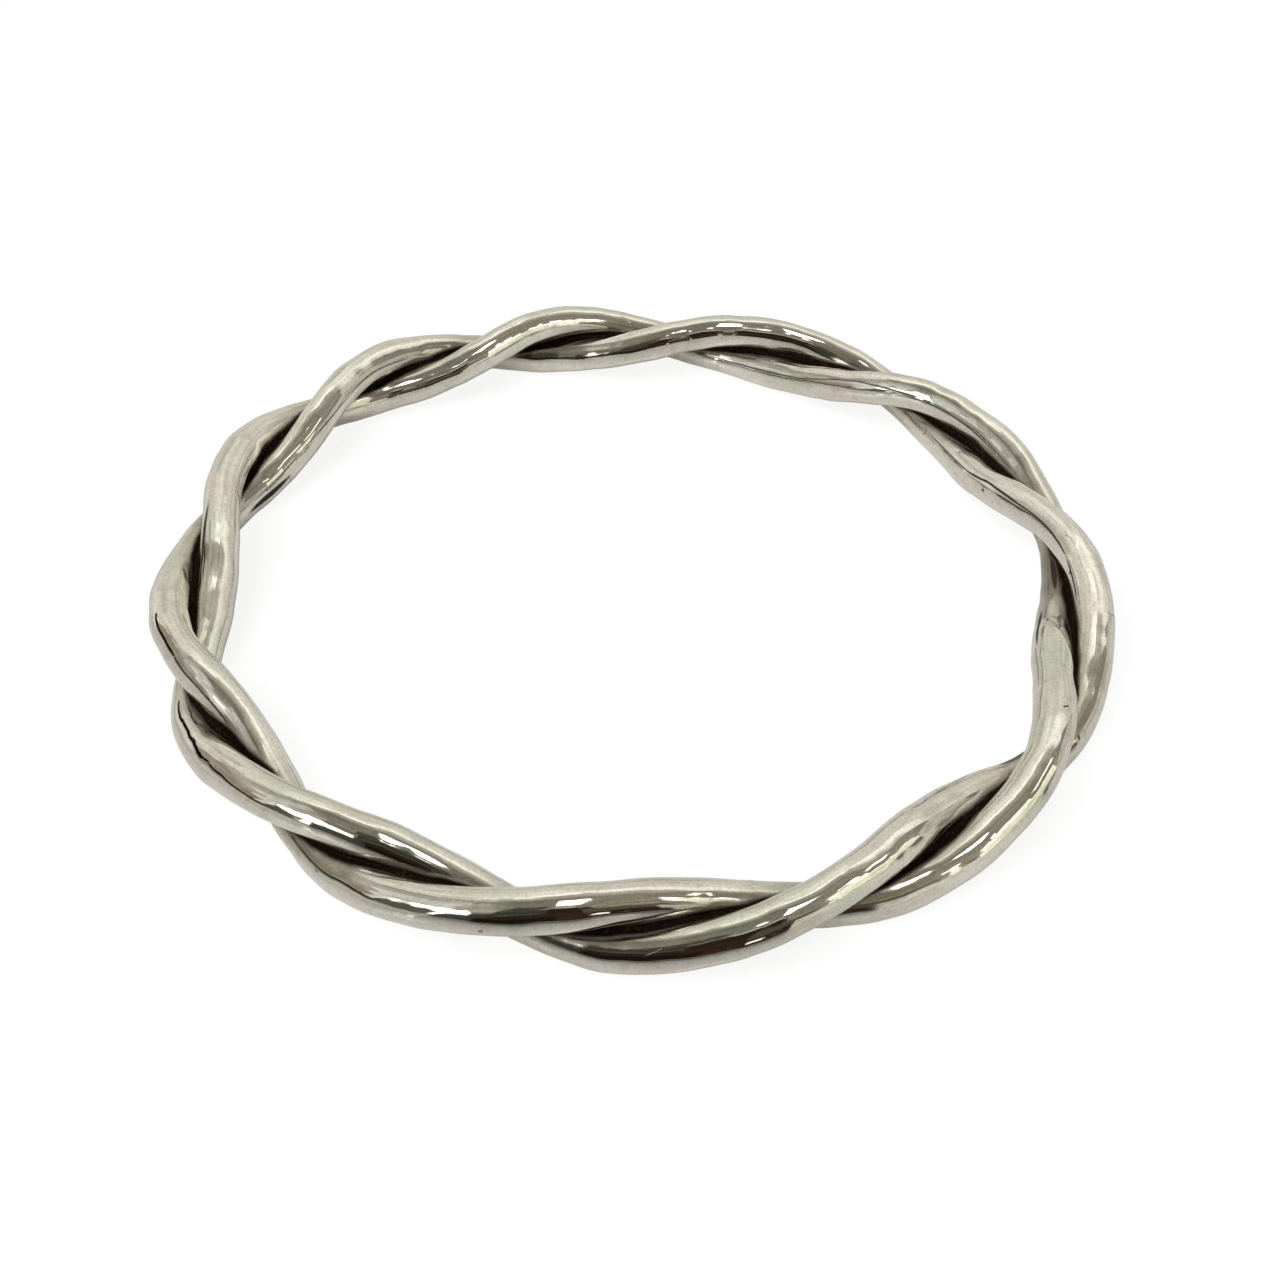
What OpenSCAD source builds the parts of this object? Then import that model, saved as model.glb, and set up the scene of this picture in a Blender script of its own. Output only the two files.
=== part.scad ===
/* [Bangle] */
// Width of the opening for the wrist
inner_d = 63; // [50:0.5:80]
// Thickness of the wire
wire_d = 3; // [2:0.1:4]
// Clearance between the strands where they are twisted tight
strand_gap = 0.1; // [0.1:0.05:0.5]

/* [Smoothness] */
// Sides round the wire
wire_sides = 18; // [12:2:20]
// Rings along a strand from one row of the table to the next
row_rings = 6; // [4:1:6]

/* [Hidden] */

// The twist, in a row for each quarter turn, anticlockwise from the soldered joint. In the first row
// one strand lies on top of the other, in the next they lie side by side, and so on by turns.
// angle: place round the bangle, in degrees
// reach: how far the pair lies out from its mean circle, as a share of wire_d
// spread: how much further apart the strands stand than twisted tight, as a share of wire_d
TWIST = [
    // angle, reach, spread
    [  6,  0.25, 0.05],
    [ 23,  0.05, 0.15],
    [ 41,  0.25, 0.00],
    [ 56,  0.10, 0.10],
    [ 75,  0.00, 0.05],
    [ 92, -0.25, 0.05],
    [107, -0.10, 0.00],
    [121, -0.15, 0.00],
    [137,  0.10, 0.00],
    [152,  0.00, 0.05],
    [168,  0.00, 0.00],
    [186, -0.15, 0.05],
    [203,  0.10, 0.10],
    [217, -0.05, 0.00],
    [233,  0.05, 0.00],
    [248, -0.05, 0.00],
    [265,  0.05, 0.05],
    [280, -0.05, 0.00],
    [297, -0.05, 0.05],
    [314, -0.15, 0.05],
    [330,  0.10, 0.15],
    [348,  0.00, 0.00]
];

rows = len(TWIST);
// With an odd number of half turns each strand ends where the other one starts, so the two strands
// are one wire that goes round the bangle twice.
windings = 2;
rings = windings * rows * row_rings;
mean_r = inner_d / 2 + wire_d + strand_gap / 2;

// Row of the table at any row number, with the angle growing by a full circle in each winding
function row(i) = TWIST[(i + rows) % rows] + [360 * floor(i / rows), 0, 0];

// Smooth curve through four rows, from the second one at t = 0 to the third one at t = 1
function blend(a, b, c, d, t) =
    b + t / 2 * (c - a + t * (2 * a - 5 * b + 4 * c - d + t * (3 * (b - c) + d - a)));

// Angle, reach and spread at a place along the wire, counted in rows
function twist_at(place) =
    let (i = floor(place))
    blend(row(i - 1), row(i), row(i + 1), row(i + 2), place - i);

// Middle of the wire at a place
function centre(place) =
    let (
        twist = twist_at(place),
        angle = twist[0],
        reach = twist[1] * wire_d,
        spread = twist[2] * wire_d,
        offset = (wire_d + strand_gap + spread) / 2,
        quarters = 1 + place,
        r = mean_r + reach + offset * cos(90 * quarters)
    )
    [r * cos(angle), r * sin(angle), offset * sin(90 * quarters)];

function unit(v) = v / norm(v);

// Round section of the wire at a place, square to the way it runs
function ring(place) =
    let (
        step = 0.5 / row_rings,
        along = unit(centre(place + step) - centre(place - step)),
        side = unit(cross(along, [0, 0, 1])),
        up = cross(side, along)
    )
    [
        for (s = [0 : wire_sides - 1])
            let (around = 90 + 360 * s / wire_sides)
            centre(place) + wire_d / 2 * (cos(around) * side + sin(around) * up)
    ];

function corner(r, s) = (r % rings) * wire_sides + s % wire_sides;

wire_points = [for (r = [0 : rings - 1]) each ring(r / row_rings)];
wire_faces = [
    for (r = [0 : rings - 1], s = [0 : wire_sides - 1])
        each [
            [corner(r, s), corner(r + 1, s + 1), corner(r + 1, s)],
            [corner(r, s), corner(r, s + 1), corner(r + 1, s + 1)]
        ]
];

xs = [for (p = wire_points) p.x];
ys = [for (p = wire_points) p.y];
zs = [for (p = wire_points) p.z];
// Middle of the bangle's underside, which becomes the origin
base = [(min(xs) + max(xs)) / 2, (min(ys) + max(ys)) / 2, min(zs)];

// Both strands of the bangle, soldered end to end into one closed wire
module twisted_wires() {
    color("silver")
        translate(-base)
            polyhedron(points = wire_points, faces = wire_faces, convexity = 10);
}

twisted_wires();
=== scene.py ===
import math

import bpy
import numpy as np
from mathutils import Euler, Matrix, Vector, kdtree


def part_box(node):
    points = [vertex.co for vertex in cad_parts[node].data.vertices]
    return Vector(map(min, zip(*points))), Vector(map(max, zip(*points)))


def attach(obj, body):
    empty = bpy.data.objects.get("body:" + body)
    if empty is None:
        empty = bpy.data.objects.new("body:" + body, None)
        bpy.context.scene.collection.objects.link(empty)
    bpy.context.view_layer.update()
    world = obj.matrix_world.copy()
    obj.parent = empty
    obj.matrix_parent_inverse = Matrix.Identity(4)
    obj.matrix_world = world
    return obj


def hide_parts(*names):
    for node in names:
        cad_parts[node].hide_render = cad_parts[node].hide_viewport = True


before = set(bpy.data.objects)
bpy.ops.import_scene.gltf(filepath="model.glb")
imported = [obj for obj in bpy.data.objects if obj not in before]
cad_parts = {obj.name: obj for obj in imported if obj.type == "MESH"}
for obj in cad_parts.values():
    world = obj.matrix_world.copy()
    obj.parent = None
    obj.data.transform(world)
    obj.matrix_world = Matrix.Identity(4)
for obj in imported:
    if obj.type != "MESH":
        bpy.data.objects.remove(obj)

bl_info = {
    "name": "Twisted Wire Bangle",
    "version": (1, 0, 0),
    "blender": (4, 5, 0),
    "location": "View3D > Sidebar > Bangle",
    "description": "Polished silver wire twisted into a bangle, on a pale studio floor",
    "category": "Add Mesh",
}

MM = 0.001
NODE = "twisted_wires"

# The twist, in a row for each quarter turn, anticlockwise from the soldered joint. In the first row
# one strand lies on top of the other, in the next they lie side by side, and so on by turns.
# angle: place round the bangle, in degrees
# reach: how far the pair lies out from its mean circle, as a share of the wire's thickness
# spread: how much further apart the strands stand than twisted tight, as a share of that thickness
TWIST = (
    # angle, reach, spread
    (6, 0.25, 0.05),
    (23, 0.05, 0.15),
    (41, 0.25, 0.00),
    (56, 0.10, 0.10),
    (75, 0.00, 0.05),
    (92, -0.25, 0.05),
    (107, -0.10, 0.00),
    (121, -0.15, 0.00),
    (137, 0.10, 0.00),
    (152, 0.00, 0.05),
    (168, 0.00, 0.00),
    (186, -0.15, 0.05),
    (203, 0.10, 0.10),
    (217, -0.05, 0.00),
    (233, 0.05, 0.00),
    (248, -0.05, 0.00),
    (265, 0.05, 0.05),
    (280, -0.05, 0.00),
    (297, -0.05, 0.05),
    (314, -0.15, 0.05),
    (330, 0.10, 0.15),
    (348, 0.00, 0.00),
)
ROWS = len(TWIST)
# With an odd number of half turns the two strands are one wire that goes round the bangle twice
WINDINGS = 2

# The wire's mesh: sides of its rings, points on its curve, a multiple of four, and rings from one
# point to the next
SIDES = 44
WIRE_POINTS = 264
WIRE_STEPS = 8
# A ring lies on the other strand if it is between these shares of the wire's length further on
OTHER_STRAND = (0.25, 0.75)

# Unevenness of the hand-worked wire, in millimetres
# name: what made it
# length: size of one swell
# height: how far it stands out or in
SWELLS = (
    # name, length, height
    ("hammered", 4.8, 0.16),
    ("filed", 2.2, 0.028),
    ("rubbed", 1.0, 0.005),
)

# Filed and pressed hollows. Places are on the straight wire, as for MARKS.
# length, width: size in millimetres, with the length along the wire
# depth: how far the middle goes in, in millimetres
DENTS = (
    # name, along, round, length, width, depth
    ("filed on the left", 96.0, 2, 15.0, 3.0, 0.22),
    ("filed on the right", 11.0, 0, 8.0, 2.4, 0.12),
    ("filed at the back", 259.0, 2, 9.0, 2.4, 0.14),
    ("pressed at the back", 298.5, 50, 4.0, 2.0, 0.05),
    ("pressed at the front", 164.0, 105, 5.0, 2.0, 0.05),
    ("pressed on the left", 368.0, 100, 4.0, 2.0, 0.04),
    ("rubbed by the tip", 209.0, 75, 9.0, 2.4, 0.05),
)
# Share of a dent's depth, or of the tip's height below, under which a place isn't moved
FAINTEST = 0.001

# The old tarnish between the strands, in millimetres: a ribbon, with crumbs on it as for SWELLS
RIBBON_WIDTH = 1.3
RIBBON_THICKNESS = 0.9
CRUMBS = (
    # name, length, height
    ("caked", 0.9, 0.10),
    ("crumbly", 0.35, 0.05),
)
# Places on the ribbon that lie closer than this are one, in millimetres
RIBBON_MERGE = 0.01
# The ribbon's mesh: points on its curve, a multiple of four, rings from one point to the next, and
# how finely its edges are rounded
RIBBON_POINTS = 92
RIBBON_STEPS = 12
RIBBON_ROUNDING = 3

# The soldered joint on the inner strand: the end of one wire stands a little proud, with a rounded
# tip, and dull solder runs on from it. Places are on the straight wire, as for MARKS.
TIP_ALONG = 217.0
TIP_ROUND = 47.0
# Degrees to each side over which the tip is blunt, and how far its sides then fall back for each
# degree, in millimetres
TIP_BLUNT = 8.0
TIP_FALL = 0.055
# Degrees from the middle of the tip to the edge that runs back along the inner side, and the
# degrees over which this edge slopes
TIP_EDGE = 17.0
TIP_SLOPE = 8.0
# Millimetres over which the tip rises to its height, then its height and its length
TIP_RISE = 0.55
TIP_HEIGHT = 0.09
TIP_LENGTH = 14.0
# Length of the solder from the tip on, and of the stretch at its end where it thins out
SOLDER_LENGTH = 14.0
SOLDER_END = 5.0
# Pale tongue of silver that shows through the solder: along, round, length and width
TONGUE = (218.2, 70.0, 5.6, 1.2)

# Nicks, pits, stains and fine lines. Places are on the straight wire: along it in millimetres from
# the middle of the joint, through both windings, and round it in degrees from the side that faces
# the wrist, over the top.
# length, width: size in millimetres, with the length along the wire before it is turned
# turn: degrees that the length is turned from the wire's own way
# depth: how far it goes in, in millimetres
# dark: how far its colour goes towards the black of the tarnish; in the nicks, pits, seams and stains this
# is tarnish, under the filed step it is painted shade, and the right, left and back lines are dark lines
# painted along the wire
MARKS = (
    # name, along, round, length, width, turn, depth, dark
    ("crescent nick", 205.17, 104, 0.50, 0.14, -50, 0.030, 0.9),
    ("corner of the nick", 205.0, 96, 0.25, 0.12, -10, 0.020, 0.7),
    ("dark seam by the tip", 215.9, 25, 5.6, 0.36, 0, 0.012, 0.95),
    ("thin seam below the tip", 210.6, 20, 6.0, 0.12, 0, 0.010, 0.6),
    ("brown streak past the tip", 224.0, 50, 5.0, 0.45, 6, 0.005, 0.8),
    ("long seam on the left", 334.8, 127, 7.0, 0.34, -5, 0.030, 0.95),
    # Painted shade under the filed step, in the tarnish's black
    ("shade under the filed step", 99.4, 350, 5.4, 0.60, 0, 0.030, 0.95),
    ("seam before the right crossing", 418.0, 50, 5.0, 0.14, 4, 0.010, 0.5),
    # Dark patch painted by the right crossing
    ("dark patch at the right crossing", 425.6, 38, 4.4, 0.80, 8, 0.004, 0.8),
    ("rough spot on the right", 0.7, 57, 0.90, 0.30, 10, 0.012, 0.15),
    ("pit by the rough spot", 1.4, 50, 0.30, 0.20, 0, 0.020, 0.4),
    ("inner pit", 11.5, 8, 0.35, 0.30, 0, 0.030, 0.8),
    ("front pit", 158.3, 172, 0.40, 0.25, 20, 0.020, 0.5),
    ("left front pit", 146.2, 139, 0.35, 0.25, 0, 0.020, 0.5),
    ("left inner pit", 101.1, 352, 0.40, 0.30, 30, 0.020, 0.6),
    ("stain on the left", 123.8, 106, 0.75, 0.50, 15, 0.004, 0.35),
    ("second stain on the left", 126.5, 96, 0.50, 0.30, 40, 0.003, 0.2),
    ("filed step", 96.8, 335, 0.30, 1.20, 10, 0.040, 0.2),
    ("outer seam", 442.7, 150, 0.14, 2.40, 4, 0.030, 0.5),
    ("front scratch", 393.3, 120, 1.20, 0.10, 20, 0.006, 0.15),
    ("back scratch", 281.0, 60, 1.20, 0.10, -30, 0.012, 0.3),
    ("right scratch", 17.2, 57, 0.90, 0.20, -25, 0.012, 0.25),
    ("inner notch", 22.6, 20, 0.30, 0.60, 10, 0.030, 0.5),
    ("break in the polish", 447.3, 8, 0.40, 0.30, 0, 0.025, 0.6),
    ("dark crumb", 431.0, 123, 0.50, 0.25, 60, 0.010, 0.8),
    # Thin dark lines painted along the strands, between the side that faces the wrist and the top
    ("right line, before the joint", 446.6, 12, 4.8, 0.20, -2, 0.006, 0.90),
    ("right line, past the joint", 3.6, 22, 9.0, 0.20, -2, 0.006, 0.92),
    ("right line, down the side", 9.4, 34, 5.4, 0.22, -5, 0.006, 0.95),
    ("right line, up again", 12.6, 36, 3.6, 0.22, 5, 0.006, 0.90),
    ("right line, far end", 17.6, 29, 9.4, 0.16, 1, 0.006, 0.80),
    ("left line, near end", 83.5, 8, 10.0, 0.14, 0, 0.005, 0.70),
    ("left line, down the side", 91.0, 18, 6.6, 0.15, -4, 0.005, 0.75),
    ("left line, far end", 97.6, 20, 7.6, 0.14, 2, 0.005, 0.70),
    ("back line, near end", 246.0, 10, 11.5, 0.18, 0, 0.005, 0.85),
    ("back line, down the side", 253.0, 26, 5.8, 0.18, -8, 0.005, 0.85),
    ("back line, lowest stretch", 256.8, 42, 4.4, 0.16, 0, 0.005, 0.75),
    ("back line, up again", 259.8, 32, 4.4, 0.16, 7, 0.005, 0.75),
    ("back line, far end", 266.2, 20, 11.0, 0.17, 1, 0.005, 0.85),
)
# Where the soft rim of a mark begins and where the mark is full, as squares of the distance from its
# middle in half sizes
MARK_RIM = (1.3, 0.5)

# Clear room to the other strand at which the darkening towards the grooves begins and at which it is full,
# in millimetres: first a brown tint that is thin tarnish and painted shade, then the black tarnish that is
# caked there
SHADE_ROOM = (1.8, 0.6)
CAKED_ROOM = (0.80, 0.42)
# Share at which lengths along the wire count in the patterns that drawing it left, which stretches
# these patterns along it
DRAWN_OUT = 0.15
# Height of the fine relief, in millimetres: the ripple of the polished skin, the grain of the silver,
# what solder and caked tarnish add to that grain, and the grain of the crumbs between the strands
RIPPLE = 0.005
GRAIN = 0.0004
SOLDER_GRAIN = 0.004
CAKED_GRAIN = 0.03
CRUMB_GRAIN = 0.06

# Colour of the room's walls where no panel covers them
WALLS = (0.30, 0.29, 0.24)
# Light and shade that the silver mirrors. Each piece lies on one wall of a cube round the bangle,
# from -1 to 1 across the cube, may run past the corners, and covers the ones before it.
# wall: side of the cube, seen from the camera
# across, up: middle of the piece; on the ceiling, up is towards the back, and on the side walls,
#     across is towards the back on the right and towards the camera on the left
# width, height: size of the piece
# soft: width of its soft edge
# red, green, blue: its light
# The panels lie on the far walls of the room.
PANELS = (
    # wall, across, up, width, height, soft, red, green, blue
    ("right", 1.00, 0.50, 1.50, 1.60, 0.15, 0.58, 0.565, 0.475),
    ("back", 0.00, 1.10, 3.60, 2.56, 0.25, 0.60, 0.585, 0.505),
    ("back", 0.00, 2.90, 4.20, 3.80, 1.20, 0.99, 0.97, 0.86),
    ("left", -0.95, 0.95, 1.00, 2.10, 0.25, 0.66, 0.64, 0.555),
    ("left", 0.35, 1.20, 1.70, 1.90, 0.25, 0.42, 0.405, 0.34),
    ("left", 1.10, 0.85, 0.70, 0.90, 0.06, 2.20, 2.20, 2.10),
    ("front", 0.10, 1.00, 2.00, 1.30, 0.12, 0.17, 0.155, 0.12),
    ("top", 0.45, -0.13, 1.90, 1.16, 0.25, 0.205, 0.195, 0.155),
    ("top", 0.60, -0.20, 0.80, 0.90, 0.40, 0.255, 0.24, 0.19),
    ("top", 0.10, 0.37, 1.10, 0.30, 0.30, 0.44, 0.42, 0.345),
    ("top", -0.13, 0.51, 0.46, 0.18, 0.06, 1.20, 1.17, 1.05),
    ("top", 0.17, -0.21, 0.19, 0.36, 0.03, 4.00, 4.00, 3.90),
    ("top", 0.02, -0.58, 0.05, 0.16, 0.03, 2.00, 2.00, 1.90),
)
# The cards stand near the bangle, out of the camera's sight, at these distances in millimetres, and
# each a little nearer than the one before it.
CARD_DISTANCES = {"front": 110, "left": 115, "right": 200}
CARD_STEP = 0.2
CARDS = (
    # wall, across, up, width, height, red, green, blue
    ("front", -0.11, 0.265, 1.34, 0.51, 0.036, 0.018, 0.012),
    ("front", -0.09, 0.76, 0.98, 0.52, 0.045, 0.042, 0.030),
    ("front", -0.43, 1.45, 0.46, 0.90, 0.068, 0.069, 0.053),
    ("front", 0.13, 1.28, 0.46, 0.44, 0.31, 0.295, 0.23),
    ("front", -0.63, 0.26, 0.34, 0.50, 0.050, 0.052, 0.042),
    ("front", -0.20, 0.145, 0.54, 0.27, 0.012, 0.009, 0.006),
    ("front", -0.30, 0.62, 0.34, 0.12, 0.070, 0.080, 0.082),
    ("front", 0.10, 0.81, 0.40, 0.60, 0.024, 0.015, 0.010),
    ("front", 0.52, 0.50, 0.46, 0.36, 0.10, 0.09, 0.07),
    ("front", 0.86, 0.20, 0.56, 0.44, 0.60, 0.58, 0.50),
    ("front", 0.74, 0.95, 0.68, 0.70, 0.26, 0.245, 0.17),
    ("front", 0.50, 1.00, 0.14, 0.20, 0.42, 0.40, 0.33),
    ("front", 0.15, 1.17, 0.26, 0.08, 0.90, 0.88, 0.80),
    ("front", 0.34, 0.17, 0.06, 0.10, 1.20, 1.15, 1.00),
    ("front", -0.68, 0.54, 0.14, 0.26, 1.20, 1.20, 1.15),
    ("left", 0.00, 1.22, 1.00, 1.35, 0.42, 0.39, 0.335),
    ("left", 0.15, 0.36, 0.90, 0.40, 0.34, 0.30, 0.24),
    ("left", -0.26, 0.145, 0.48, 0.12, 0.004, 0.003, 0.002),
    ("left", 0.34, 0.155, 0.68, 0.09, 0.012, 0.010, 0.007),
    ("left", 0.60, 0.17, 0.24, 0.17, 0.06, 0.055, 0.04),
    ("left", 0.25, 1.25, 0.42, 1.00, 0.62, 0.62, 0.58),
    ("left", 0.52, 0.80, 0.36, 0.64, 0.70, 0.69, 0.63),
    ("left", 0.82, 0.35, 0.43, 0.40, 0.10, 0.095, 0.072),
    ("left", 0.56, 0.37, 0.12, 0.30, 0.68, 0.68, 0.60),
    ("left", 0.63, 0.72, 0.12, 0.16, 3.50, 3.50, 3.40),
    ("left", 0.88, 0.76, 0.40, 0.40, 2.20, 2.20, 2.10),
    ("left", 1.19, 0.66, 0.32, 0.88, 2.20, 2.20, 2.10),
    ("right", 0.22, 0.20, 0.50, 0.42, 0.50, 0.48, 0.40),
    ("right", 0.16, 0.86, 0.38, 0.90, 0.26, 0.25, 0.20),
    ("right", -0.52, 0.15, 0.96, 0.26, 0.56, 0.55, 0.45),
    ("right", -0.47, 0.45, 0.76, 0.42, 0.92, 0.90, 0.70),
    ("right", -0.16, 0.10, 0.10, 0.20, 0.16, 0.15, 0.12),
    ("right", -0.58, 0.79, 0.46, 0.34, 1.20, 1.18, 1.00),
    ("right", -0.76, 1.00, 0.18, 0.20, 1.50, 1.48, 1.28),
    ("right", -0.55, 1.15, 0.14, 0.30, 3.00, 3.00, 2.80),
    ("right", -0.05, 1.06, 0.32, 0.20, 1.45, 1.43, 1.28),
)

# Heights of the floor, which only the camera sees, and of the table top, which only the silver and
# the light see, in millimetres
FLOOR_HEIGHT = -0.01
TABLE_HEIGHT = -0.02
# Greys of the floor and of the backdrop: what they throw back, and what they shine by themselves
FLOOR_GREYS = (0.36, 0.86)
BACKDROP_GREYS = (0.0, 1.0)
# Share of its colour that the table top shines by itself
TABLE_GLOW = 0.18
# Middle and half size of the shade on the table in front of the bangle, in millimetres, the
# distances from its middle at which it begins and at which it is full, in half sizes, and the share
# of its colour there
SHADE_AT = (0, -100, 0)
SHADE_SIZE = (80, 60, 60)
SHADE_RIM = (1.25, 0.35)
SHADE_SHARE = 0.85
# Kinds of rays from which a piece that only the camera sees is hidden
ALL_BUT_CAMERA = ("visible_glossy", "visible_diffuse", "visible_shadow")
# Kinds of rays from which a piece that only the silver mirrors is hidden
ALL_BUT_GLOSSY = ("visible_camera", "visible_diffuse", "visible_shadow")

# Outputs of the Texture Coordinate node and of the Attribute node, by their order
WAY, OBJECT = 0, 3
COLOUR, VECTOR, FACTOR = 0, 1, 2


class BangleSizes(bpy.types.PropertyGroup):
    """Sizes of the bangle, as its maker would give them."""

    inner_d: bpy.props.FloatProperty(
        name="Opening", description="Width of the opening for the wrist",
        default=63 * MM, min=50 * MM, max=80 * MM, unit="LENGTH",
    )
    wire_d: bpy.props.FloatProperty(
        name="Wire", description="Thickness of the wire",
        default=3 * MM, min=2 * MM, max=4 * MM, unit="LENGTH",
    )
    strand_gap: bpy.props.FloatProperty(
        name="Strand gap", description="Clearance between the strands where they are twisted tight",
        default=0.1 * MM, min=0.1 * MM, max=0.5 * MM, unit="LENGTH",
    )
    shift: bpy.props.FloatVectorProperty(
        name="Shift", description="Way from the middle of the twist to the middle of the bangle's underside",
        subtype="TRANSLATION", unit="LENGTH",
    )


class BangleSilver(bpy.types.PropertyGroup):
    """Finish of the wire."""

    silver: bpy.props.FloatVectorProperty(
        name="Silver", description="Colour of the polished silver",
        default=(0.96, 0.945, 0.91), min=0, max=1, subtype="COLOR",
    )
    film: bpy.props.FloatVectorProperty(
        name="Film", description="Colour of the silver under the first thin film of tarnish",
        default=(0.79, 0.82, 0.73), min=0, max=1, subtype="COLOR",
    )
    blush: bpy.props.FloatVectorProperty(
        name="Blush", description="Colour of the silver where rubbing left it pinkish",
        default=(0.90, 0.82, 0.79), min=0, max=1, subtype="COLOR",
    )
    solder: bpy.props.FloatVectorProperty(
        name="Solder", description="Colour of the solder that runs on from the joint",
        default=(0.24, 0.24, 0.20), min=0, max=1, subtype="COLOR",
    )
    # The dull colour is also the colour of the painted shade towards the grooves
    dull: bpy.props.FloatVectorProperty(
        name="Dull", description="Colour of the dull spots and the thin tarnish",
        default=(0.30, 0.26, 0.19), min=0, max=1, subtype="COLOR",
    )
    tarnish: bpy.props.FloatVectorProperty(
        name="Tarnish", description="Colour of the old tarnish between the strands",
        default=(0.015, 0.008, 0.004), min=0, max=1, subtype="COLOR",
    )


class BangleStage(bpy.types.PropertyGroup):
    """Floor, light and camera."""

    table: bpy.props.FloatVectorProperty(
        name="Table", description="Colour of the table top that the silver mirrors",
        default=(0.84, 0.82, 0.76), min=0, max=1, subtype="COLOR",
    )
    shade: bpy.props.FloatVectorProperty(
        name="Shade", description="Colour of the table top where it lies in shade",
        default=(0.03, 0.028, 0.024), min=0, max=1, subtype="COLOR",
    )
    reach: bpy.props.FloatProperty(
        name="Floor's reach", description="Distance from the bangle to the edge of the floor",
        default=2.0, min=0.5, max=5.0, unit="LENGTH",
    )
    softbox_at: bpy.props.FloatVectorProperty(
        name="Softbox", description="Place of the softbox, which points at the bangle",
        default=(-0.45, -0.4, 1.05), subtype="TRANSLATION", unit="LENGTH",
    )
    softbox_d: bpy.props.FloatProperty(
        name="Softbox's width", description="Width of the round softbox",
        default=1.2, min=0.1, max=3.0, unit="LENGTH",
    )
    softbox_power: bpy.props.FloatProperty(
        name="Softbox's power", description="Power of the softbox",
        default=9.5, min=0, max=100, unit="POWER",
    )
    camera_at: bpy.props.FloatVectorProperty(
        name="Camera", description="Place of the camera",
        default=(-0.19 * MM, -93.36 * MM, 83.71 * MM), subtype="TRANSLATION", unit="LENGTH",
    )
    camera_turn: bpy.props.FloatVectorProperty(
        name="Camera's turn", description="Tilt from looking straight down, roll and heading",
        default=(math.radians(46.70), math.radians(-1.93), math.radians(1.34)), subtype="EULER",
    )
    lens: bpy.props.FloatProperty(
        name="Lens", description="Focal length of the camera in millimetres",
        default=43.48, min=10, max=200,
    )


class Value:
    """Value socket that takes part in sums: an expression on values adds its Math nodes."""

    def __init__(self, shader, socket):
        self.shader = shader
        self.socket = socket

    def math(self, operation, *others):
        """Result of a Math node on this value and the others."""
        return self.shader.node("Math", {"operation": operation}, dict(enumerate((self, *others))))[0]

    def __add__(self, other):
        return self.math("ADD", other)

    def __sub__(self, other):
        return self.math("SUBTRACT", other)

    def __rsub__(self, other):
        return self.shader.node("Math", {"operation": "SUBTRACT"}, {0: other, 1: self})[0]

    def __mul__(self, other):
        return self.math("MULTIPLY", other)

    def __truediv__(self, other):
        return self.math("DIVIDE", other)

    __radd__ = __add__
    __rmul__ = __mul__

    def ramp(self, start, end, low=0.0, high=1.0):
        """Smooth step from low at start to high at end."""
        settings = {"interpolation_type": "SMOOTHSTEP"}
        inputs = {"Value": self, "From Min": start, "From Max": end, "To Min": low, "To Max": high}
        return self.shader.node("MapRange", settings, inputs)[0]


class Shader:
    """Node tree of a material or a world, built by calls."""

    def __init__(self, owner):
        owner.use_nodes = True
        self.tree = owner.node_tree
        self.tree.nodes.clear()

    def node(self, kind, settings=None, inputs=None):
        """New node of a kind, with its settings, then its sockets; returns its usable outputs."""
        node = self.tree.nodes.new("ShaderNode" + kind)
        for name, value in (settings or {}).items():
            setattr(node, name, value)
        usable = [socket for socket in node.inputs if socket.enabled]
        by_name = {socket.name: socket for socket in reversed(usable)}
        for key, value in (inputs or {}).items():
            socket = usable[key] if isinstance(key, int) else by_name[key]
            if isinstance(value, Value):
                self.tree.links.new(value.socket, socket)
            else:
                socket.default_value = value
        return [Value(self, socket) for socket in node.outputs if socket.enabled]

    def show(self, kind, inputs, output="OutputMaterial"):
        """Show a closing node of a kind, such as a BsdfPrincipled, on the surface."""
        surface = self.node(kind, None, inputs)[0]
        self.node(output, None, {"Surface": surface})

    def mix(self, factor, a, b):
        """Colour that goes from a to b with factor."""
        return self.node("Mix", {"data_type": "RGBA"}, {"Factor": factor, "A": rgba(a), "B": rgba(b)})[0]

    def vector(self, operation, *inputs):
        """Result of a Vector Math node."""
        return self.node("VectorMath", {"operation": operation}, dict(enumerate(inputs)))[0]

    def in_millimetres(self):
        """Place on the piece, in millimetres."""
        return self.vector("SCALE", self.node("TexCoord")[OBJECT], 1 / MM)

    def noise(self, place, scale, detail=2.0, roughness=0.5):
        """Noise from 0 to 1 whose swells are about 1 / scale long."""
        inputs = {"Vector": place, "Scale": scale, "Detail": detail, "Roughness": roughness}
        return self.node("TexNoise", None, inputs)[0]

    def bump(self, height):
        """Normal of a surface with a height in millimetres."""
        return self.node("Bump", None, {"Strength": 1, "Distance": MM, "Height": height})[0]


def rgba(colour):
    """Colour as a colour socket takes it."""
    return colour if isinstance(colour, Value) else (*colour[:3], 1)


def row(i):
    """Row of the twist at any row number, with the angle growing by a full circle in each winding."""
    angle, reach, spread = TWIST[i % ROWS]
    return Vector((angle + 360 * (i // ROWS), reach, spread))


def blend(a, b, c, d, t):
    """Smooth curve through four rows, from the second one at t = 0 to the third one at t = 1."""
    return b + t / 2 * (c - a + t * (2 * a - 5 * b + 4 * c - d + t * (3 * (b - c) + d - a)))


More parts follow.
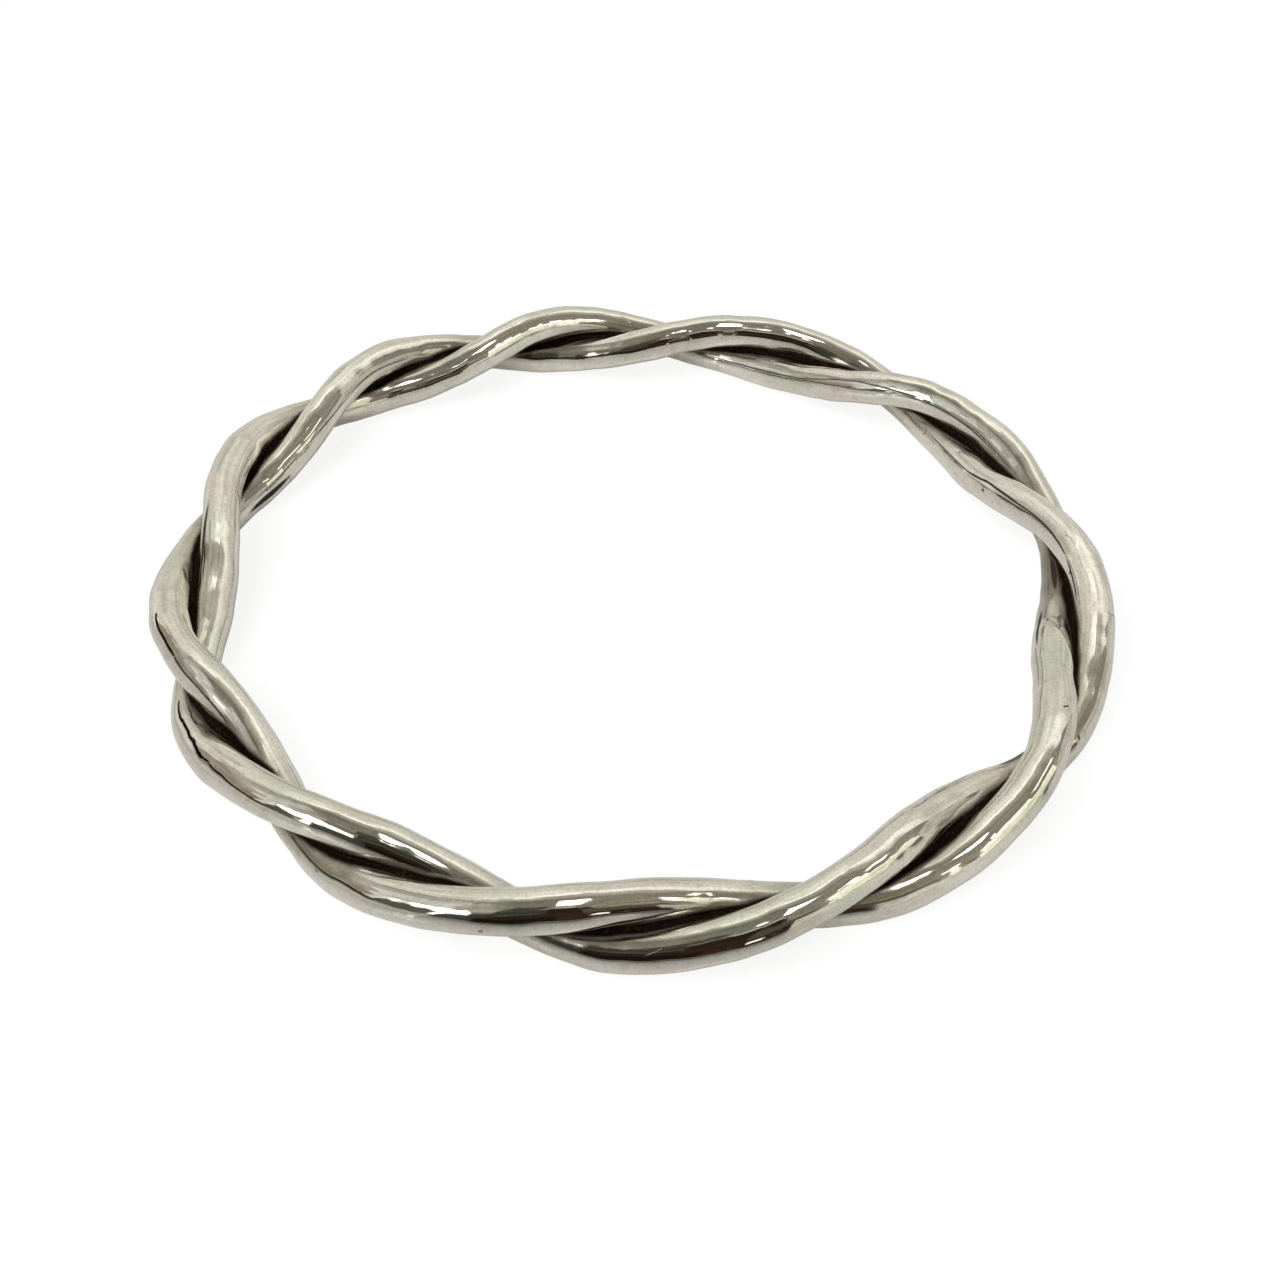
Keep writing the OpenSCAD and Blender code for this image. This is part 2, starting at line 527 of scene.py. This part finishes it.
def centre(sizes, place):
    """Middle of the wire at a place along it, counted in rows, round the middle of the bangle."""
    i = math.floor(place)
    angle, reach, spread = blend(row(i - 1), row(i), row(i + 1), row(i + 2), place - i)
    offset = (sizes.wire_d * (1 + spread) + sizes.strand_gap) / 2
    turn = math.pi / 2 * (1 + place)
    mean_r = sizes.inner_d / 2 + sizes.wire_d + sizes.strand_gap / 2
    r = mean_r + reach * sizes.wire_d + offset * math.cos(turn)
    round_ring = math.radians(angle)
    return Vector((r * math.cos(round_ring), r * math.sin(round_ring), offset * math.sin(turn)))


def deselect_all():
    """Leave edit mode and deselect everything."""
    if bpy.context.object and bpy.context.object.mode != "OBJECT":
        bpy.ops.object.mode_set(mode="OBJECT")
    bpy.ops.object.select_all(action="DESELECT")


def round_curve(name, sizes, points, closed=True):
    """Round curve with a number of points in even steps, to be bent point by point."""
    deselect_all()
    bpy.ops.curve.primitive_bezier_circle_add(radius=sizes.inner_d / 2)
    curve = bpy.context.object
    curve.name = curve.data.name = name
    bpy.ops.object.mode_set(mode="EDIT")
    bpy.ops.curve.select_all(action="SELECT")
    bpy.ops.curve.subdivide(number_cuts=points // 4 - 1)
    if not closed:
        bpy.ops.curve.cyclic_toggle()
    bpy.ops.curve.handle_type_set(type="AUTOMATIC")
    bpy.ops.object.mode_set(mode="OBJECT")
    return curve


def sweep(curve, radius, steps, rounding):
    """Make the curve a mesh, with its section rounded to a radius and steps from point to point."""
    curve.data.twist_mode = "Z_UP"
    curve.data.resolution_u = steps
    curve.data.bevel_depth = radius
    curve.data.bevel_resolution = rounding
    bpy.ops.object.convert(target="MESH")
    bpy.ops.object.shade_smooth()


def bend_wire(sizes):
    """Round wire along both strands of the twist, as a closed mesh of equal rings."""
    wire = round_curve("polished_wire", sizes, WIRE_POINTS)
    for i, point in enumerate(wire.data.splines[0].bezier_points):
        point.co = centre(sizes, i * ROWS * WINDINGS / WIRE_POINTS)
    sweep(wire, sizes.wire_d / 2, WIRE_STEPS, (SIDES - 4) // 2)
    return wire


def fill_grooves(sizes):
    """Ribbon of old tarnish between the strands, with its edges in the two grooves beside them."""
    ribbon = round_curve("groove_tarnish", sizes, RIBBON_POINTS, closed=False)
    for i, point in enumerate(ribbon.data.splines[0].bezier_points):
        place = i * ROWS / (RIBBON_POINTS - 1)
        point.co = (centre(sizes, place) + centre(sizes, place + ROWS)) / 2
        point.tilt = -math.pi / 2 * (1 + place)
    ribbon.data.extrude = (RIBBON_WIDTH - RIBBON_THICKNESS) / 2 * MM
    sweep(ribbon, RIBBON_THICKNESS / 2 * MM, RIBBON_STEPS, RIBBON_ROUNDING)
    # Once round, the ribbon has turned over and meets its own start
    bpy.ops.object.mode_set(mode="EDIT")
    bpy.ops.mesh.select_all(action="SELECT")
    bpy.ops.mesh.remove_doubles(threshold=RIBBON_MERGE * MM)
    bpy.ops.mesh.normals_make_consistent(inside=False)
    bpy.ops.object.mode_set(mode="OBJECT")
    return ribbon


def shift_by(way):
    """Move the selected piece and keep its new place in its mesh."""
    bpy.ops.transform.translate(value=way)
    bpy.ops.object.transform_apply(location=True, rotation=True, scale=True)


def seat_on_node(wire):
    """Move the wire to where its CAD node stands: boxes in line sideways, undersides level."""
    low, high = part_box(NODE)
    corners = [Vector(corner) for corner in wire.bound_box]
    own_low = Vector(map(min, *corners))
    own_high = Vector(map(max, *corners))
    way = (low + high - own_low - own_high) / 2
    way.z = low.z - own_low.z
    shift_by(way)
    return way


def swell(piece, swells):
    """Raise and sink the surface a little, as hammering, filing and rubbing leave it."""
    for name, length, height in swells:
        texture = bpy.data.textures.new(name, "CLOUDS")
        texture.noise_scale = length * MM
        texture.noise_depth = 1
        displace = piece.modifiers.new(name, "DISPLACE")
        displace.texture = texture
        displace.texture_coords = "LOCAL"
        displace.strength = 2 * height * MM
        displace.mid_level = 0.5
        bpy.ops.object.modifier_apply(modifier=displace.name)


def ring_middles(wire):
    """Middle of each ring of the wire's mesh, in metres, a row each."""
    points = np.empty(3 * len(wire.data.vertices))
    wire.data.vertices.foreach_get("co", points)
    return points.reshape(-1, SIDES, 3).mean(axis=1)


def straighten(wire):
    """How far along the straight wire each ring lies, in millimetres, with the first ring again last."""
    middles = ring_middles(wire)
    steps = np.linalg.norm(np.roll(middles, -1, axis=0) - middles, axis=1) / MM
    return np.concatenate(([0], np.cumsum(steps)))


def mark_straight(wire, radius):
    """Write on each face corner its place on the straight wire, in millimetres: across, up and along."""
    along = straighten(wire)
    corners = np.empty(len(wire.data.loops), dtype=int)
    wire.data.loops.foreach_get("vertex_index", corners)
    ring, side = np.divmod(corners.reshape(-1, 4), SIDES)
    # On the faces that close the wire, the first ring counts as the one after the last
    closing = ring.max(axis=1, keepdims=True) == len(along) - 2
    ring = np.where(closing & (ring == 0), len(along) - 1, ring)
    turn = 2 * np.pi * side / SIDES
    straight = np.stack((radius * np.cos(turn), radius * np.sin(turn), along[ring]), axis=-1)
    attribute = wire.data.attributes.new("straight", "FLOAT_VECTOR", "CORNER")
    attribute.data.foreach_set("vector", straight.ravel())


def mark_grooves(wire, radius):
    """Write on each vertex how much clear room it has to the other strand, in millimetres."""
    middles = ring_middles(wire)
    rings = len(middles)
    tree = kdtree.KDTree(rings)
    for i, middle in enumerate(middles):
        tree.insert(middle, i)
    tree.balance()
    low, high = (share * rings for share in OTHER_STRAND)
    room = []
    for vertex in wire.data.vertices:
        own = vertex.index // SIDES
        _, _, distance = tree.find(vertex.co, filter=lambda other: low < (other - own) % rings < high)
        room.append(distance / MM - radius)
    attribute = wire.data.attributes.new("room", "FLOAT", "POINT")
    attribute.data.foreach_set("value", room)


def on_straight_wire(wire):
    """Place of each vertex on the straight wire: millimetres along it and degrees round it."""
    along = np.repeat(straighten(wire)[:-1], SIDES)
    around = np.tile(np.arange(SIDES) * 360 / SIDES, len(along) // SIDES)
    return along, around


def degrees_beside(around, side):
    """Degrees round the wire from one of its sides, from -180 to 180."""
    return (around - side + 180) % 360 - 180


def push_out(wire, name, height, shares):
    """Move each vertex out by its share of a height in millimetres."""
    group = wire.vertex_groups.new(name=name)
    for index in np.flatnonzero(shares > FAINTEST):
        group.add([int(index)], float(shares[index]), "REPLACE")
    displace = wire.modifiers.new(name, "DISPLACE")
    displace.vertex_group = group.name
    displace.strength = height * MM
    displace.mid_level = 0
    bpy.ops.object.modifier_apply(modifier=displace.name)
    wire.vertex_groups.clear()


def press_dents(wire, radius):
    """Press the hollows into the wire."""
    along, around = on_straight_wire(wire)
    for name, middle, side, length, width, depth in DENTS:
        aside = np.radians(degrees_beside(around, side)) * radius
        off = np.hypot((along - middle) / (length / 2), aside / (width / 2))
        push_out(wire, name, -depth, np.exp(-off ** 2))


def raise_tip(wire):
    """Let the soldered end of the wire stand proud, with a rounded tip, and run out along the wire."""
    along, around = on_straight_wire(wire)
    aside = degrees_beside(around, TIP_ROUND)
    outline = TIP_ALONG - TIP_FALL * (np.hypot(aside, TIP_BLUNT) - TIP_BLUNT)
    rise = np.clip((outline - along) / TIP_RISE, 0, 1)
    run_out = np.clip(1 - (TIP_ALONG - along) / TIP_LENGTH, 0, 1)
    edge = np.clip((aside + TIP_EDGE) / TIP_SLOPE + 0.5, 0, 1)
    push_out(wire, "tip", TIP_HEIGHT, rise * run_out * edge)


def coat(piece, material):
    """Give the piece this material alone."""
    piece.data.materials.clear()
    piece.data.materials.append(material)


def skin_place(shader, straight, radius):
    """Place on the skin of the straight wire, in millimetres along it and round it, cut open below."""
    across, up, along = shader.node("SeparateXYZ", None, {0: straight})
    from_top = (0 - across).math("ARCTAN2", up)
    return along, from_top.math("MULTIPLY_ADD", radius, radius * math.pi / 2)


def spot(skin, radius, middle, side, length, width, turn=0):
    """Mask of an oval spot on the skin of the wire, 1 inside it."""
    along, aside = skin
    side = radius * math.radians((side + 90) % 360 - 90)
    cos, sin = math.cos(math.radians(turn)), math.sin(math.radians(turn))
    squares = 0
    for ahead, beside, size in ((cos, -sin, length / 2), (sin, cos, width / 2)):
        start = -(middle * ahead + side * beside) / size
        off = along.math("MULTIPLY_ADD", ahead / size, aside.math("MULTIPLY_ADD", beside / size, start))
        squares = off.math("MULTIPLY_ADD", off, squares)
    return squares.ramp(*MARK_RIM)


def spread_marks(skin, radius):
    """Depth of the marks, in millimetres, and how dark they are."""
    depth = dark = 0
    for _, middle, side, length, width, turn, deep, black in MARKS:
        inside = spot(skin, radius, middle, side, length, width, turn)
        depth = inside.math("MULTIPLY_ADD", deep, depth)
        dark = inside.math("MULTIPLY_ADD", black, dark)
    return depth, dark


def run_solder(skin, radius, mottle):
    """Mask of the patchy solder, which sets in at the tip, is full 6 mm on and thins out at its end."""
    past = skin[0] - TIP_ALONG
    thickness = past.ramp(-0.5, 0.3, high=0.65) + past.ramp(2, 6, high=0.35)
    run_out = past.ramp(SOLDER_LENGTH, SOLDER_LENGTH - SOLDER_END)
    bare = spot(skin, radius, *TONGUE) * 0.7
    return thickness * run_out * mottle.ramp(0.25, 0.5, low=0.6) * (1 - bare)


def spread_tarnish_and_shade(shader, here, drawn):
    """Masks of the brown tint of thin tarnish and painted shade, and of the caked black, towards the
    grooves, with ragged rims that drift.
    """
    room = shader.node("Attribute", {"attribute_name": "room"})[FACTOR]
    drift = shader.noise(here, scale=0.14) - 0.5
    ragged = shader.noise(drawn, scale=1.6, detail=4, roughness=0.7) - 0.5
    # Brown tint of thin tarnish and painted shade, darker the less room there is to the other strand
    shade = (room + ragged + drift * 1.6).ramp(*SHADE_ROOM)
    caked = (room + ragged * 0.45 + drift).ramp(*CAKED_ROOM)
    return shade, caked


def silver_material(finish, radius):
    """Polished silver with thin films, dull spots, solder, tarnish, painted shade towards the grooves and
    marks, in layers.
    """
    material = bpy.data.materials.new("polished_silver")
    shader = Shader(material)
    here = shader.in_millimetres()
    straight = shader.node("Attribute", {"attribute_name": "straight"})[VECTOR]
    drawn = shader.vector("MULTIPLY", straight, (1, 1, DRAWN_OUT))
    skin = skin_place(shader, straight, radius)

    film = shader.noise(here, scale=0.16, detail=4).ramp(0.40, 0.68)
    blush = shader.noise(here, scale=0.28, detail=4).ramp(0.46, 0.66)
    mottle = shader.noise(here, scale=1.1, detail=5, roughness=0.65)
    spots = mottle.ramp(0.48, 0.75)
    streaks = shader.noise(drawn, scale=1.5, detail=3, roughness=0.6).ramp(0.55, 0.75)
    grit = shader.noise(here, scale=4.5, detail=3, roughness=0.7)
    solder = run_solder(skin, radius, mottle)
    shade, caked = spread_tarnish_and_shade(shader, here, drawn)
    depth, dark = spread_marks(skin, radius)
    black = (caked + dark).math("MINIMUM", 1)

    layers = (
        # share, colour
        (film * 0.8, finish.film),
        (blush * 0.7, finish.blush),
        (spots * 0.20 + streaks * 0.05 + grit.ramp(0.42, 0.68) * 0.20, finish.dull),
        (solder * 0.9, finish.solder),
        # Thin tarnish and painted shade towards the grooves, in the dull colour
        (shade * 0.55, finish.dull),
        (black, finish.tarnish),
    )
    colour = finish.silver
    for share, layer in layers:
        colour = shader.mix(share, colour, layer)
    polish = shader.noise(here, scale=0.5, detail=4).ramp(0.3, 0.8, low=0.03, high=0.09)
    roughness = polish + spots * 0.06 + solder * 0.12 + shade * 0.08 + black * 0.4
    ripple = shader.noise(here, scale=0.9, detail=3) * RIPPLE
    grain = grit * (caked * CAKED_GRAIN + solder * SOLDER_GRAIN + GRAIN)
    shader.show("BsdfPrincipled", {
        "Base Color": colour, "Metallic": 1 - black * 0.8, "Roughness": roughness,
        "Specular IOR Level": 0.1, "Normal": shader.bump(ripple + grain - depth),
    })
    return material


def tarnish_material(finish):
    """Old tarnish, black and crumbly, with dull crumbs."""
    material = bpy.data.materials.new("old_tarnish")
    shader = Shader(material)
    crumb = shader.noise(shader.in_millimetres(), scale=3.5, detail=4, roughness=0.6)
    shader.show("BsdfPrincipled", {
        "Base Color": shader.mix(crumb.ramp(0.5, 0.75) * 0.12, finish.tarnish, finish.dull),
        "Roughness": crumb.ramp(0.3, 0.7, low=0.9, high=0.6),
        "Specular IOR Level": 0.05, "Normal": shader.bump(crumb * CRUMB_GRAIN),
    })
    return material


class BANGLE_OT_wire(bpy.types.Operator):
    """Bend one round wire along both strands of the twist and finish it in silver"""

    bl_idname = "bangle.wire"
    bl_label = "Twisted wire"

    def execute(self, context):
        sizes = context.scene.bangle_sizes
        radius = sizes.wire_d / 2 / MM
        wire = bend_wire(sizes)
        sizes.shift = seat_on_node(wire)
        swell(wire, SWELLS)
        press_dents(wire, radius)
        raise_tip(wire)
        mark_straight(wire, radius)
        mark_grooves(wire, radius)
        coat(wire, silver_material(context.scene.bangle_silver, radius))
        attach(wire, "root")
        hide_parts(NODE)
        return {"FINISHED"}


class BANGLE_OT_tarnish(bpy.types.Operator):
    """Fill the grooves between the strands with old tarnish"""

    bl_idname = "bangle.tarnish"
    bl_label = "Groove tarnish"

    def execute(self, context):
        sizes = context.scene.bangle_sizes
        ribbon = fill_grooves(sizes)
        shift_by(sizes.shift)
        swell(ribbon, CRUMBS)
        coat(ribbon, tarnish_material(context.scene.bangle_silver))
        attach(ribbon, "root")
        return {"FINISHED"}


def soft_room():
    """World that lights the bangle like a pale room, with panels of light and shade on its walls."""
    world = bpy.data.worlds.new("soft_room")
    shader = Shader(world)
    way = shader.node("TexCoord")[WAY]
    x, y, z = shader.node("SeparateXYZ", None, {0: way})
    walls = {
        # wall: depth, across, up
        "top": (z, x, y),
        "back": (y, x, z),
        "front": (0 - y, x, z),
        "left": (0 - x, 0 - y, z),
        "right": (x, y, z),
    }
    colour = WALLS
    for wall, across, up, width, height, soft, *light in PANELS:
        depth, sideways, upwards = walls[wall]
        # Ways that never reach the wall are masked, and the least depth keeps them from dividing by 0
        least = depth.math("MAXIMUM", 0.001)
        mask = depth.math("GREATER_THAN", 0)
        for along, middle, size in ((sideways, across, width), (upwards, up, height)):
            off = (along / least - middle).math("ABSOLUTE")
            mask = mask * off.ramp((size + soft) / 2, (size - soft) / 2)
        colour = shader.mix(mask, colour, light)
    patches = shader.noise(way, scale=4, detail=3).ramp(0.25, 0.75, low=0.8, high=1.2)
    shader.show("Background", {"Color": colour, "Strength": patches}, "OutputWorld")
    world.cycles_visibility.camera = False
    world.cycles_visibility.diffuse = False
    world.cycles.sampling_method = "NONE"
    return world


def card_material():
    """Plain light of each card, a little patchy, for the silver to mirror."""
    material = bpy.data.materials.new("mirrored_cards")
    shader = Shader(material)
    light = shader.node("Attribute", {"attribute_name": "light"})[COLOUR]
    patches = shader.noise(shader.in_millimetres(), scale=0.03, detail=3)
    shader.show("Emission", {"Color": light, "Strength": patches.ramp(0.25, 0.75, low=0.75, high=1.25)})
    material.cycles.emission_sampling = "NONE"
    return material


def plain_material(name, greys):
    """Matt grey material that also shines by itself."""
    material = bpy.data.materials.new(name)
    matt, shine = greys
    Shader(material).show("BsdfPrincipled", {
        "Base Color": (matt, matt, matt, 1), "Roughness": 1, "Specular IOR Level": 0,
        "Emission Color": (shine, shine, shine, 1), "Emission Strength": 1,
    })
    return material


def table_material(stage):
    """Smooth pale table top that shines a little by itself and lies in shade in front of the bangle."""
    material = bpy.data.materials.new("table_top")
    shader = Shader(material)
    from_middle = shader.node("Mapping", {"vector_type": "TEXTURE"}, {
        "Vector": shader.in_millimetres(), "Location": SHADE_AT, "Scale": SHADE_SIZE,
    })[0]
    shaded = shader.vector("LENGTH", from_middle).ramp(*SHADE_RIM) * SHADE_SHARE
    colour = shader.mix(shaded, stage.table, stage.shade)
    shader.show("BsdfPrincipled", {
        "Base Color": colour, "Roughness": 0.15, "IOR": 1.5,
        "Emission Color": colour, "Emission Strength": TABLE_GLOW,
    })
    return material


def add_to_stage(name, material, hidden_from):
    """Finish the mesh that was just added: its name, its material, and the kinds of rays it is hidden from.
    """
    piece = bpy.context.object
    piece.name = piece.data.name = name
    bpy.ops.object.transform_apply(location=True, rotation=True, scale=True)
    coat(piece, material)
    for rays in hidden_from:
        setattr(piece, rays, False)


def lay_ground(stage):
    """Floor that only the camera sees, over a table top for the silver and the light."""
    grounds = (
        # name, height, material, hidden from
        ("pale_floor", FLOOR_HEIGHT, plain_material("pale_floor", FLOOR_GREYS), ALL_BUT_CAMERA),
        ("table_top", TABLE_HEIGHT, table_material(stage), ("visible_camera",)),
    )
    for name, height, material, hidden_from in grounds:
        deselect_all()
        bpy.ops.mesh.primitive_circle_add(
            vertices=96, radius=stage.reach, fill_type="NGON", location=(0, 0, height * MM))
        add_to_stage(name, material, hidden_from)


def hang_backdrop(stage):
    """Pale sphere round the floor, which only the camera sees."""
    deselect_all()
    bpy.ops.mesh.primitive_uv_sphere_add(segments=64, ring_count=32, radius=stage.reach)
    bpy.ops.object.shade_smooth()
    add_to_stage("pale_backdrop", plain_material("pale_backdrop", BACKDROP_GREYS), ALL_BUT_CAMERA)


def stand_cards():
    """Cards that stand round the bangle where only the silver sees them, as one mesh."""
    turns = {"front": 0, "left": math.radians(-90), "right": math.radians(90)}
    cards = []
    for order, (wall, across, up, width, height, *light) in enumerate(CARDS):
        unit = CARD_DISTANCES[wall] * MM
        turn = turns[wall]
        place = Vector((across * unit, order * CARD_STEP * MM - unit, up * unit))
        place.rotate(Euler((0, 0, turn)))
        deselect_all()
        bpy.ops.mesh.primitive_plane_add(size=1, location=place, rotation=(math.pi / 2, 0, turn))
        card = bpy.context.object
        card.scale = (width * unit, height * unit, 1)
        attribute = card.data.attributes.new("light", "FLOAT_COLOR", "POINT")
        attribute.data.foreach_set("color", (*light, 1) * 4)
        cards.append(card)
    deselect_all()
    for card in cards:
        card.select_set(True)
    bpy.context.view_layer.objects.active = cards[0]
    bpy.ops.object.join()
    add_to_stage("mirrored_cards", card_material(), ALL_BUT_GLOSSY)


def hang_softbox(stage):
    """Round softbox that points at the bangle and isn't mirrored in it."""
    deselect_all()
    bpy.ops.object.light_add(type="AREA", location=stage.softbox_at)
    softbox = bpy.context.object
    softbox.name = softbox.data.name = "softbox"
    softbox.rotation_euler = (-softbox.location).to_track_quat("-Z", "Y").to_euler()
    softbox.data.shape = "DISK"
    softbox.data.size = stage.softbox_d
    softbox.data.energy = stage.softbox_power
    softbox.visible_glossy = False


def place_camera(scene, stage):
    """Camera that looks at the bangle from above and in front."""
    deselect_all()
    bpy.ops.object.camera_add(location=stage.camera_at, rotation=stage.camera_turn)
    camera = bpy.context.object
    camera.name = camera.data.name = "camera"
    camera.data.lens = stage.lens
    camera.data.clip_start = 1 * MM
    scene.camera = camera


class BANGLE_OT_stage(bpy.types.Operator):
    """Set a pale floor, a soft room and the camera"""

    bl_idname = "bangle.stage"
    bl_label = "Stage"

    def execute(self, context):
        scene = context.scene
        stage = scene.bangle_stage
        lay_ground(stage)
        hang_backdrop(stage)
        stand_cards()
        hang_softbox(stage)
        place_camera(scene, stage)
        scene.world = soft_room()
        scene.view_settings.view_transform = "Standard"
        return {"FINISHED"}


class BANGLE_PT_panel(bpy.types.Panel):
    """Sizes and steps of the bangle."""

    bl_label = "Bangle"
    bl_space_type = "VIEW_3D"
    bl_region_type = "UI"
    bl_category = "Bangle"

    def draw(self, context):
        scene = context.scene
        for group in (scene.bangle_sizes, scene.bangle_silver, scene.bangle_stage):
            box = self.layout.box()
            for name in group.__annotations__:
                box.prop(group, name)
        self.layout.operator(BANGLE_OT_wire.bl_idname)
        self.layout.operator(BANGLE_OT_tarnish.bl_idname)
        self.layout.operator(BANGLE_OT_stage.bl_idname)


CLASSES = (
    BangleSizes, BangleSilver, BangleStage,
    BANGLE_OT_wire, BANGLE_OT_tarnish, BANGLE_OT_stage, BANGLE_PT_panel,
)


def register():
    for cls in CLASSES:
        bpy.utils.register_class(cls)
    bpy.types.Scene.bangle_sizes = bpy.props.PointerProperty(type=BangleSizes)
    bpy.types.Scene.bangle_silver = bpy.props.PointerProperty(type=BangleSilver)
    bpy.types.Scene.bangle_stage = bpy.props.PointerProperty(type=BangleStage)


def unregister():
    del bpy.types.Scene.bangle_stage
    del bpy.types.Scene.bangle_silver
    del bpy.types.Scene.bangle_sizes
    for cls in reversed(CLASSES):
        bpy.utils.unregister_class(cls)


def main():
    register()
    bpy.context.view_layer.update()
    bpy.ops.bangle.wire()
    bpy.ops.bangle.tarnish()
    bpy.ops.bangle.stage()


if __name__ == "__main__":
    main()
